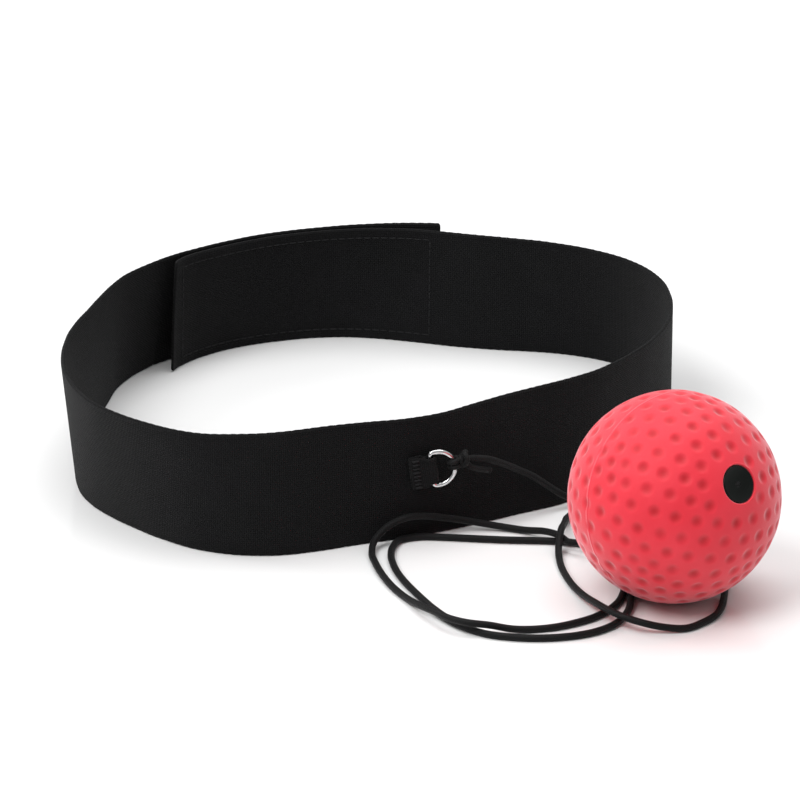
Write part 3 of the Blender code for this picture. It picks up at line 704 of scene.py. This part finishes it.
def ribbon_stations(first, last, step, ends):
    """Arc lengths, closer together at the ends that are cut and sealed."""
    count = max(2, int((last - first) / step))
    inside = list(np.linspace(first, last, count + 1)[1:-1])
    close = (0.0, 0.00012, 0.0003, 0.0006, 0.0010, 0.0015, 0.0021, 0.0028)
    lows = [first + value for value in close] if ends[0] else [first]
    highs = [last - value for value in close[::-1]] if ends[1] else [last]
    kept = [value for value in inside if lows[-1] + 0.0003 < value < highs[0] - 0.0003]
    return np.array(lows + kept + highs)


def strap_ribbon(strap, first, last, ends, thickness, offset=0.0, trim=0.0, scallops=True, corner=CORNER):
    """A web along the strap between two arc lengths."""
    height = BAND_HEIGHT - 2.0 * trim
    levels, half = edge_section(height, thickness)
    stations = ribbon_stations(first, last, 0.0009 if scallops else 0.0025, ends)
    sheaf = Sheaf()
    loops = []
    for where in stations:
        cut = 0.0
        thin = 1.0
        for end, is_end in ((first, ends[0]), (last, ends[1])):
            if is_end:
                cut = max(cut, float(rounding(abs(where - end), corner)))
                thin = min(thin, math.sqrt(1.0 - (1.0 - min(1.0, abs(where - end) / 0.0005 + 0.08)) ** 2))
        low = trim + cut
        span = BAND_HEIGHT - 2.0 * low
        place = low + levels / height * span
        if scallops:
            pull = SCALLOP_DEPTH * (0.5 - 0.5 * math.cos(2.0 * math.pi * where / SCALLOP))
            edge = np.exp(-np.minimum(levels, height - levels) / 0.0008)
            place = place + np.where(levels < height / 2.0, pull, -pull) * edge
        ripple = 0.00010 * math.sin(where * 173.0) + 0.00007 * math.sin(where * 431.0 + 1.0)
        share = place / BAND_HEIGHT
        outer = strap.at(where, share, offset + half * thin + ripple * (share - 0.5))
        inner = strap.at(where, share, offset - half * thin + ripple * (share - 0.5))
        loops.append(np.vstack([outer, inner[::-1]]))
    across = np.concatenate([levels, levels[::-1], levels[:1]]) / MM
    along = np.append(stations, stations[-1]) / MM
    sheaf.loft(loops, across, along)
    sheaf.uvs = [(v, u) for u, v in sheaf.uvs]
    return sheaf


def stitch_row(sheaf, points, pitch=0.0028, radius=THREAD_RADIUS, sink=0.00022):
    """Lock stitches along a line: short threads that dive in at their ends."""
    points = np.asarray(points, dtype=float)
    lengths = path_lengths(points[:, :3])
    count = max(1, int(round(lengths[-1] / pitch)))
    step = lengths[-1] / count
    for index in range(count):
        where = (index + np.array([0.06, 0.14, 0.3, 0.5, 0.7, 0.86, 0.94])) * step
        rows = pick(points, lengths, where)
        dive = np.array([1.0, 0.45, 0.1, 0.0, 0.1, 0.45, 1.0]) * sink
        line = rows[:, :3] - rows[:, 3:] * dive[:, None]
        sheaf.tube(line, radius * np.array([0.55, 0.85, 1.0, 1.0, 1.0, 0.85, 0.55]), sides=8)


def strap_seam(strap, first, last, edge, side, start=0.0):
    """A sewn rectangle on one face of the strap."""
    sheaf = Sheaf()
    low = edge / BAND_HEIGHT
    lift = side * THREAD_LIFT
    along = np.linspace(first, last, 90) + start
    heights = np.linspace(low, 1.0 - low, 30)
    for where, share in ((along, np.full(90, low)), (along, np.full(90, 1.0 - low)),
                         (np.full(30, first + start), heights), (np.full(30, last + start), heights)):
        rows = strap.at(where, share, lift)
        away = strap.at(where, share, lift + side * 0.001) - rows
        stitch_row(sheaf, np.hstack([rows, unit(away)]))
    return sheaf


# ---------------------------------------------------------------- ring, tab and knots

def ring_frame():
    """Tab directions, bar centre and ring directions."""
    face = Vector((math.cos(FACE_ANGLE), math.sin(FACE_ANGLE), 0.0))
    out = Vector((math.sin(FACE_ANGLE), -math.cos(FACE_ANGLE), 0.0))
    up = Vector((0.0, 0.0, 1.0))
    tab_along = face * math.cos(TAB_TILT) + up * math.sin(TAB_TILT)
    bar = up * math.cos(TAB_TILT) - face * math.sin(TAB_TILT)
    ring_along = tab_along * math.cos(RING_LIFT) + out * math.sin(RING_LIFT)
    ring_out = out * math.cos(RING_LIFT) - tab_along * math.sin(RING_LIFT)
    return tab_along, bar, out, ring_along, ring_out, RING_CENTRE - ring_along * BAR_OFFSET


def ring_points():
    """Straight bar and round bow of the ring."""
    _, bar, _, along, _, _ = ring_frame()
    flat = []
    for index in range(61):
        angle = math.radians(-90.0 + 3.0 * index)
        flat.append((RING_RADIUS * math.cos(angle), RING_RADIUS * math.sin(angle)))
    inset = RING_RADIUS - RING_CORNER
    for side in (1.0, -1.0):
        for index in range(10):
            first = 90.0 if side > 0 else 180.0
            turn = math.radians(first + 10.0 * index)
            reach = -BAR_OFFSET + RING_CORNER + RING_CORNER * math.cos(turn)
            flat.append((reach, side * inset + RING_CORNER * math.sin(turn)))
    return [RING_CENTRE + along * reach + bar * rise for reach, rise in flat]


def tab_level(reach):
    """Height of the tab's front layer at a distance from the bar."""
    thin = TAB_WEB / 2.0 + 0.00012
    share = reach / TAB_LENGTH
    blend = share * share * (3.0 - 2.0 * share)
    return FOLD_RADIUS * (1.0 - blend) + (2.0 * thin - FOLD_RADIUS) * blend


def tab_sheaf():
    """Webbing folded round the bar, its two ends brought together."""
    along, bar, out, _, _, centre = ring_frame()
    profile = []
    reaches = np.linspace(0.0, TAB_LENGTH, 16)
    for reach in reaches[::-1]:
        profile.append((-reach, -FOLD_RADIUS))
    for index in range(1, 20):
        angle = -math.pi / 2.0 + math.pi * index / 20
        profile.append((FOLD_RADIUS * math.cos(angle), FOLD_RADIUS * math.sin(angle)))
    for reach in reaches:
        profile.append((-reach, tab_level(reach)))
    profile = np.array(profile)
    ahead = unit(np.gradient(profile, axis=0))
    normal = np.stack([ahead[:, 1], -ahead[:, 0]], axis=1)
    levels, half = edge_section(TAB_HEIGHT, TAB_WEB, 0.0015)
    loops = []
    lengths = path_lengths(profile)
    for (reach, level), (side, lift), where in zip(profile, normal, lengths):
        narrow = min(1.0, max(0.0, (reach + 0.0023) / 0.0010))
        narrow = narrow * narrow * (3.0 - 2.0 * narrow)
        height = TAB_HEIGHT * (1.0 - narrow) + TAB_NECK * narrow
        flat = np.array(centre + along * reach + out * level)
        lean = np.array(along * side + out * lift)
        end = min(where, lengths[-1] - where)
        thin = math.sqrt(1.0 - (1.0 - min(1.0, end / 0.0004 + 0.25)) ** 2)
        rise = (levels / TAB_HEIGHT - 0.5) * height
        rows = flat + np.outer(rise, np.array(bar))
        swell = np.outer(half * thin, lean)
        loops.append(np.vstack([rows + swell, (rows - swell)[::-1]]))
    sheaf = Sheaf()
    across = np.concatenate([levels, levels[::-1], levels[:1]]) / MM
    sheaf.loft(loops, across, np.append(lengths, lengths[-1]) / MM)
    sheaf.uvs = [(v, u) for u, v in sheaf.uvs]
    return sheaf


def tack_sheaf():
    """Bar tack: short cross stitches with slanting returns between them."""
    along, bar, out, _, _, centre = ring_frame()
    sheaf = Sheaf()

    def spot(reach, rise, lift):
        return np.array(centre + along * -reach + bar * rise
                        + out * (tab_level(reach) + TAB_WEB / 2.0 + lift))

    rises = np.linspace(-0.0043, 0.0043, 8)
    left, right = TAB_LENGTH - 0.0005, TAB_LENGTH - 0.0024
    for index, rise in enumerate(rises):
        for first, last, drop in ((left, right, 0.0), (right, left, 0.0011)):
            if drop and index == len(rises) - 1:
                continue
            line = []
            for share in np.linspace(0.0, 1.0, 7):
                reach = first + (last - first) * share
                hump = 1.0 - (2.0 * share - 1.0) ** 4
                lift = THREAD_RADIUS * (1.3 * hump - 0.9) + (0.0 if drop else 0.00012)
                line.append(spot(reach, rise + drop * share, lift))
            sheaf.tube(line, THREAD_RADIUS * (0.8 if drop else 1.25), sides=8)
    return sheaf


def ring_knot_sheaf():
    """Eye round the wire, wrapped turns, a crossing strand, the cut tail and the standing cord."""
    _, bar, _, along, out, _ = ring_frame()
    radial = along * math.cos(KNOT_AT) + bar * math.sin(KNOT_AT)
    across = bar * math.cos(KNOT_AT) - along * math.sin(KNOT_AT)
    wire = RING_CENTRE + radial * RING_RADIUS
    reach = WIRE_RADIUS + KNOT_RADIUS * 0.95
    sheaf = Sheaf()
    core = wire + radial * 0.0029
    for shift in (-0.0008, 0.0008):
        eye = [core + out * 0.0006 + across * shift * 0.3]
        for index in range(13):
            angle = math.radians(40.0) + math.radians(280.0) * index / 12
            slide = across * shift
            eye.append(wire + radial * reach * math.cos(angle) + out * reach * math.sin(angle) + slide)
        eye.append(core - out * 0.0006 + across * shift * 0.3)
        sheaf.tube(even_path(eye, KNOT_STEP), KNOT_RADIUS, sides=14)
    wraps = []
    for index in range(46):
        turn = 2.0 * math.pi * 2.2 * index / 45
        level = -0.0009 + 0.0019 * index / 45
        swell = 0.00125 + 0.0002 * math.sin(turn * 0.5)
        wraps.append(core + radial * level + (across * math.cos(turn) + out * math.sin(turn)) * swell)
    sheaf.tube(even_path(wraps, KNOT_STEP), KNOT_RADIUS * 0.95, sides=14)
    cross = [core - across * 0.0014 - radial * 0.0012 + out * 0.0009,
             core - across * 0.0005 + radial * 0.0002 + out * 0.0022,
             core + across * 0.0009 + radial * 0.0010 + out * 0.0021,
             core + across * 0.0022 + radial * 0.0006 + out * 0.0006,
             core + across * 0.0018 + radial * 0.0014 - out * 0.0008]
    sheaf.tube(even_path(cross, KNOT_STEP), KNOT_RADIUS * 0.95, sides=14)
    lead = Vector(LEAD_ROUTE[0]) * MM
    ahead = (Vector(LEAD_ROUTE[1]) * MM - lead).normalized()
    stub = [core - ahead * 0.0004, core * 0.45 + lead * 0.55, lead + ahead * 0.0003]
    line = even_path(stub, KNOT_STEP)
    grow = np.linspace(0.0, 1.0, len(line))
    sheaf.tube(line, 0.00088 + (CORD_RADIUS - 0.00088) * grow, sides=20)
    tail = [core, core + Vector((0.0018, 0.0003, -0.0022)), core + Vector((0.0046, 0.0022, -0.0039)),
            core + Vector((0.0079, 0.0049, -0.0053))]
    line = even_path(tail, KNOT_STEP)
    size = np.full(len(line), TAIL_RADIUS)
    size[-4:] = TAIL_RADIUS * np.array([1.02, 1.08, 1.2, 1.12])
    sheaf.tube(line, size, sides=16)
    return sheaf


def stop_knot_sheaf():
    """Wound stopper knot in the cup."""
    turn = BORE_AXIS.to_track_quat("Z", "Y")
    middle = STOP_KNOT_LEVEL
    sheaf = Sheaf()
    wraps = []
    for index in range(90):
        angle = 2.0 * math.pi * 2.4 * index / 89
        level = middle - 0.0009 + 0.0018 * index / 89
        spot = Vector((STOP_KNOT_WIND * math.cos(angle), STOP_KNOT_WIND * math.sin(angle), level))
        wraps.append(tuple(BALL_CENTRE + turn @ spot))
    sheaf.tube(even_path(wraps, KNOT_STEP), STOP_KNOT_STRAND, sides=14)
    over = []
    for index in range(25):
        angle = math.pi * index / 24
        spot = Vector((0.0017 * math.cos(angle), 0.0005 * math.sin(2.0 * angle),
                       middle + 0.0004 + 0.00145 * math.sin(angle)))
        over.append(tuple(BALL_CENTRE + turn @ spot))
    sheaf.tube(even_path(over, KNOT_STEP), STOP_KNOT_STRAND, sides=14)
    stem = [tuple(BALL_CENTRE + turn @ Vector((0.0, 0.0, value))) for value in (0.0246, 0.0262, 0.0278)]
    sheaf.tube(even_path(stem, 0.0004), 0.0011, sides=14)
    return sheaf


# ---------------------------------------------------------------- ball and cup

def dimple_centres(frequency=6):
    """Directions of an evenly dimpled ball, a divided icosahedron turned and slightly shifted."""
    golden = (1.0 + math.sqrt(5.0)) / 2.0
    corners = []
    for a in (-1.0, 1.0):
        for b in (-golden, golden):
            corners += [(0.0, a, b), (a, b, 0.0), (b, 0.0, a)]
    corners = unit(np.array(corners))
    edge = min(np.linalg.norm(corners[0] - other) for other in corners[1:])
    found = {}
    for i in range(12):
        for j in range(i + 1, 12):
            for k in range(j + 1, 12):
                sides = (corners[i] - corners[j], corners[j] - corners[k], corners[k] - corners[i])
                if max(np.linalg.norm(side) for side in sides) > edge * 1.01:
                    continue
                for p in range(frequency + 1):
                    for q in range(frequency + 1 - p):
                        spot = corners[i] * p + corners[j] * q + corners[k] * (frequency - p - q)
                        spot = spot / np.linalg.norm(spot)
                        found[tuple(np.round(spot, 5))] = spot
    centres = np.array([found[key] for key in sorted(found)])
    turn = Matrix.Rotation(0.55, 3, "X") @ Matrix.Rotation(0.32, 3, "Y") @ Matrix.Rotation(0.2, 3, "Z")
    centres = centres @ np.array(turn).T
    rng = np.random.default_rng(7)
    centres = unit(centres + rng.normal(0.0, 0.0045, centres.shape))
    depths = rng.uniform(0.72, 1.08, len(centres))
    return centres, depths


def turned(profile, segments):
    """Loops of a profile turned about the bore's axis, around the ball's centre."""
    turn = np.array(BORE_AXIS.to_track_quat("Z", "Y").to_matrix())
    angles = np.linspace(0.0, 2.0 * math.pi, segments, endpoint=False)
    loops = []
    for radius, height in profile:
        flat = (radius * np.cos(angles), radius * np.sin(angles), np.full(segments, height))
        local = np.stack(flat, axis=1)
        loops.append(local @ turn.T + np.array(BALL_CENTRE))
    return np.array(loops)


def ball_mesh():
    """Foam ball with soft dimples, a rounded mouth and a cord bore."""
    mouth = SEAT_RADIUS - 0.0001
    lip = 0.0005
    start = math.asin((mouth + lip) / BALL_RADIUS)
    end = math.pi - math.asin((BORE_RADIUS + 0.0007) / BALL_RADIUS)
    rim = BALL_RADIUS * math.cos(start)
    profile = [(mouth, SEAT_FLOOR), (mouth, 0.0262), (mouth, rim - lip * 1.1)]
    for angle in (20.0, 40.0, 60.0, 78.0):
        turn = math.radians(angle)
        profile.append((mouth + lip * (1.0 - math.cos(turn)), rim - lip * 1.02 + lip * math.sin(turn)))
    skin_first = len(profile)
    for angle in np.linspace(start, end, BALL_ROWS):
        profile.append((BALL_RADIUS * math.sin(angle), BALL_RADIUS * math.cos(angle)))
    skin_last = len(profile)
    foot = profile[-1][1]
    profile += [(BORE_RADIUS + 0.0002, foot + 0.0003), (BORE_RADIUS, foot + 0.0009), (BORE_RADIUS, 0.0),
                (BORE_RADIUS, SEAT_FLOOR)]
    segments = BALL_SEGMENTS
    loops = turned(profile, segments)
    skin = loops[skin_first:skin_last].reshape(-1, 3)
    centre = np.array(BALL_CENTRE)
    direction = unit(skin - centre)
    centres, depths = dimple_centres()
    axis = np.array(BORE_AXIS)
    free = (np.arccos(np.clip(centres @ axis, -1, 1)) * BALL_RADIUS > 0.0078)
    free &= (np.arccos(np.clip(-(centres @ axis), -1, 1)) * BALL_RADIUS > 0.0045)
    centres, depths = centres[free], depths[free]
    depth = np.zeros(len(direction))
    for first in range(0, len(direction), 20000):
        part = direction[first:first + 20000] @ centres.T
        near = part.argmax(axis=1)
        apart = np.arccos(np.clip(part.max(axis=1), -1.0, 1.0)) * BALL_RADIUS
        share = np.clip(1.0 - (apart / DIMPLE_REACH) ** 2, 0.0, 1.0) ** 1.6
        depth[first:first + 20000] = share * depths[near]
    wave = np.sin(skin @ np.array([310.0, 120.0, -90.0])) + np.sin(skin @ np.array([-80.0, 260.0, 210.0]))
    sunk = DIMPLE_DEPTH * depth + BALL_WAVE - BALL_WAVE * wave * 0.5
    moved = skin - direction * sunk[:, None]
    loops[skin_first:skin_last] = moved.reshape(-1, segments, 3)
    sheaf = Sheaf()
    rows = len(profile)
    sheaf.loft(loops, np.linspace(0.0, 1.0, segments + 1), np.linspace(0.0, 1.0, rows + 1), closed=True)
    mesh = sheaf.mesh("ball_foam")
    # the dimple depths are also stored on the mesh; the foam material uses them to paint shade into the
    # dimples
    values = np.zeros((rows, segments), np.float32)
    values[skin_first:skin_last] = depth.reshape(-1, segments)
    attribute = mesh.attributes.new("dimple", "FLOAT", "POINT")
    attribute.data.foreach_set("value", values.ravel())
    return mesh


def cup_mesh():
    """Satin cup closed by a dished lid, with a rolled rim and a small hole in the middle."""
    rim = CUP_RIM
    roll = 0.0004
    inner = CUP_RADIUS - CUP_WALL
    lid = LID_BELOW + LID_WALL
    profile = [(BORE_RADIUS, CUP_FLOOR), (CUP_RADIUS, CUP_FLOOR), (CUP_RADIUS, rim - roll)]
    for angle in np.linspace(0.0, math.pi / 2.0, 7):
        profile.append((CUP_RADIUS - roll + roll * math.cos(angle), rim - roll + roll * math.sin(angle)))
    brim = CUP_RADIUS - 0.0005
    for share in np.linspace(1.0, 0.0, 26):
        radius = LID_HOLE + 0.0002 + (brim - LID_HOLE - 0.0002) * share
        profile.append((radius, lid + (rim - 0.00003 - lid) * (radius / brim) ** 2.4))
    profile += [(LID_HOLE + 0.00006, lid - 0.00008), (LID_HOLE, lid - 0.00022), (LID_HOLE, LID_BELOW),
                (inner, LID_BELOW), (inner, CUP_FLOOR + CUP_WALL), (BORE_RADIUS, CUP_FLOOR + CUP_WALL)]
    sheaf = Sheaf()
    sheaf.loft(turned(profile, CUP_SEGMENTS), np.linspace(0.0, 1.0, CUP_SEGMENTS + 1),
               np.linspace(0.0, 1.0, len(profile) + 1), closed=True)
    return sheaf.mesh("cup")


# ---------------------------------------------------------------- cords

def cord_points(route, tail_in=False):
    points = [tuple(value * MM for value in point) for point in route]
    if tail_in:
        entry = BALL_CENTRE - BORE_AXIS * BALL_RADIUS
        for step in (0.0005, 0.008, 0.016):
            points.append(tuple(entry + BORE_AXIS * step))
    path = even_path(points, CORD_STEP)
    path[:, 2] = np.maximum(path[:, 2], CORD_RADIUS + 0.00002)
    if tail_in:
        steps = [tuple(BALL_CENTRE + BORE_AXIS * value) for value in (0.0, 0.013, 0.0245)]
        path = np.vstack([path, np.array(steps)])
    return path


def cord_piece(name, path, material, share_at):
    """A braided cord along the path; each point's share along it is worked out but not used."""
    line = even_path(path, 0.0006, 14)
    line[:, 2] = np.maximum(line[:, 2], CORD_RADIUS)
    sheaf = Sheaf()
    sheaf.tube(line, CORD_RADIUS, sides=CORD_SIDES)
    piece = new_object(name, sheaf.mesh(name), material)
    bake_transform(piece)
    lengths = path_lengths(line)
    share = np.array([share_at(where, lengths[-1]) for where in lengths])
    share = np.clip(share, 0.0, 1.0)
    share = share * share * (3.0 - 2.0 * share)
    return piece, line, lengths[-1]


def finish_piece(name, source, material, body, slot, *nodes, blend=None):
    mesh = source.mesh(name) if isinstance(source, Sheaf) else source
    mesh.name = name
    piece = new_object(name, mesh, material)
    if blend is not None:
        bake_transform(piece)
    else:
        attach(piece, body)
    if nodes:
        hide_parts(*nodes)
    return piece


# ---------------------------------------------------------------- the object

make_camera()

cord = cord_material("braided_cord")
lead_path = cord_points(LEAD_ROUTE)
coil_path = cord_points(COIL_ROUTE, True)
knot = finish_piece("ring_knot_cord", ring_knot_sheaf(), cord, "ring", "black_cord", "ring_knot")
stopper = finish_piece("stop_knot_cord", stop_knot_sheaf(), cord, "tether", "black_cord", "stop_knot")
lead, lead_line, lead_length = cord_piece(
    "lead_cord", lead_path, cord, lambda where, total: where / LEAD_FREE)
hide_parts("cord_lead")
coils, coil_line, coil_length = cord_piece(
    "coil_cord", coil_path, cord,
    lambda where, total: where / (total - BALL_END_FREE))
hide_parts("cord_coils")

strap = Strap()
web = webbing_material("strap_webbing", (0.0052, 0.0052, 0.0056), 0.65)
thread = thread_material("sewing_thread")
loops = loop_material("loop_pile")
hooks = hook_material("hook_tape")
turned_over = strap.total + PEEL_AT
peel_start = strap.at(turned_over, 0.5, 0.0)
peel_end = strap.at(turned_over + PEEL_BLEND, 0.5, 0.0)
peel = ("headband", "closure_flap", peel_start, peel_end)
tape_off = WEB / 2.0 + SEWN_GAP + TAPE / 2.0
finish_piece("band_webbing", strap_ribbon(strap, 0.0, turned_over, (True, False), WEB), web,
             "headband", "black_webbing", "strap_band")
finish_piece("flap_webbing", strap_ribbon(strap, turned_over, strap.total + OVERLAP, (False, True), WEB), web,
             None, "black_webbing", "strap_flap", blend=peel)
loop_ribbon = strap_ribbon(strap, *LOOP_SPAN, (True, True), TAPE, tape_off, LOOP_INSET, False, TAPE_CORNER)
finish_piece("loop_tape_pile", loop_ribbon, loops, "headband", "hook_and_loop", "loop_tape")
hook_first, hook_last = (strap.total + value for value in HOOK_SPAN)
hook_ribbon = strap_ribbon(strap, hook_first, hook_last, (True, True), TAPE, -tape_off, HOOK_INSET, False,
                           TAPE_CORNER)
finish_piece("hook_tape_hooks", hook_ribbon, hooks, None, "hook_and_loop", "hook_tape", blend=peel)
finish_piece("inner_seam_stitches", strap_seam(strap, *INNER_SEAM_SPAN, INNER_SEAM_INSET, -1.0), thread,
             "headband", "black_thread", "inner_seam")
finish_piece("outer_seam_stitches", strap_seam(strap, *OUTER_SEAM_SPAN, OUTER_SEAM_INSET, 1.0, strap.total),
             thread, None, "black_thread", "outer_seam", blend=peel)

tab_web = webbing_material("tab_webbing", (0.0062, 0.0062, 0.0066), 0.55)
finish_piece("tab_fold", tab_sheaf(), tab_web, "headband", "black_webbing", "ring_tab")
finish_piece("tab_bar_tack", tack_sheaf(), thread, "headband", "black_thread", "tab_tack")
wire = Sheaf()
wire.tube(ring_points(), WIRE_RADIUS, sides=24, closed=True)
finish_piece("d_ring_wire", wire, metal_material("nickel"), "ring", "nickel_wire", "d_ring")

finish_piece("ball_foam", ball_mesh(), foam_material("coral_foam_skin"), "ball", "coral_foam", "ball")
finish_piece("cup_shell", cup_mesh(), plastic_material("satin_plastic"), "ball", "black_plastic", "bore_cup")

# ---------------------------------------------------------------- floor and light

floor_mesh = bpy.data.meshes.new("floor")
floor_corners = [(-FLOOR_REACH, -FLOOR_REACH, 0.0), (FLOOR_REACH, -FLOOR_REACH, 0.0),
                 (FLOOR_REACH, FLOOR_REACH, 0.0), (-FLOOR_REACH, FLOOR_REACH, 0.0)]
floor_mesh.from_pydata(floor_corners, [], [(0, 1, 2, 3)])
floor = new_object("floor", floor_mesh, floor_material("floor_white"))

world = bpy.data.worlds.new("studio")
bpy.context.scene.world = world
world.use_nodes = True
backdrop = world.node_tree.nodes["Background"]
backdrop.inputs["Color"].default_value = (1.0, 1.0, 1.0, 1.0)
heading = world.node_tree.nodes.new("ShaderNodeTexCoord")
heading_parts = world.node_tree.nodes.new("ShaderNodeSeparateXYZ")
overhead = world.node_tree.nodes.new("ShaderNodeMapRange")
overhead.inputs["From Min"].default_value = 0.0
overhead.inputs["From Max"].default_value = 1.0
overhead.inputs["To Min"].default_value = 0.20
overhead.inputs["To Max"].default_value = 0.78
world.node_tree.links.new(heading.outputs["Generated"], heading_parts.inputs[0])
world.node_tree.links.new(heading_parts.outputs[2], overhead.inputs["Value"])
world.node_tree.links.new(overhead.outputs[0], backdrop.inputs["Strength"])
area_light("key", (-0.9, -0.9, 1.6), (0.0, 0.0, 0.0), 1.2, 27.0)
area_light("top", (0.3, 0.5, 1.9), (0.0, 0.0, 0.0), 1.6, 21.0)
area_light("side", (-1.5, 0.75, 1.1), (0.04, -0.05, 0.0), 0.9, 13.0)
bpy.context.scene.view_settings.view_transform = "Standard"
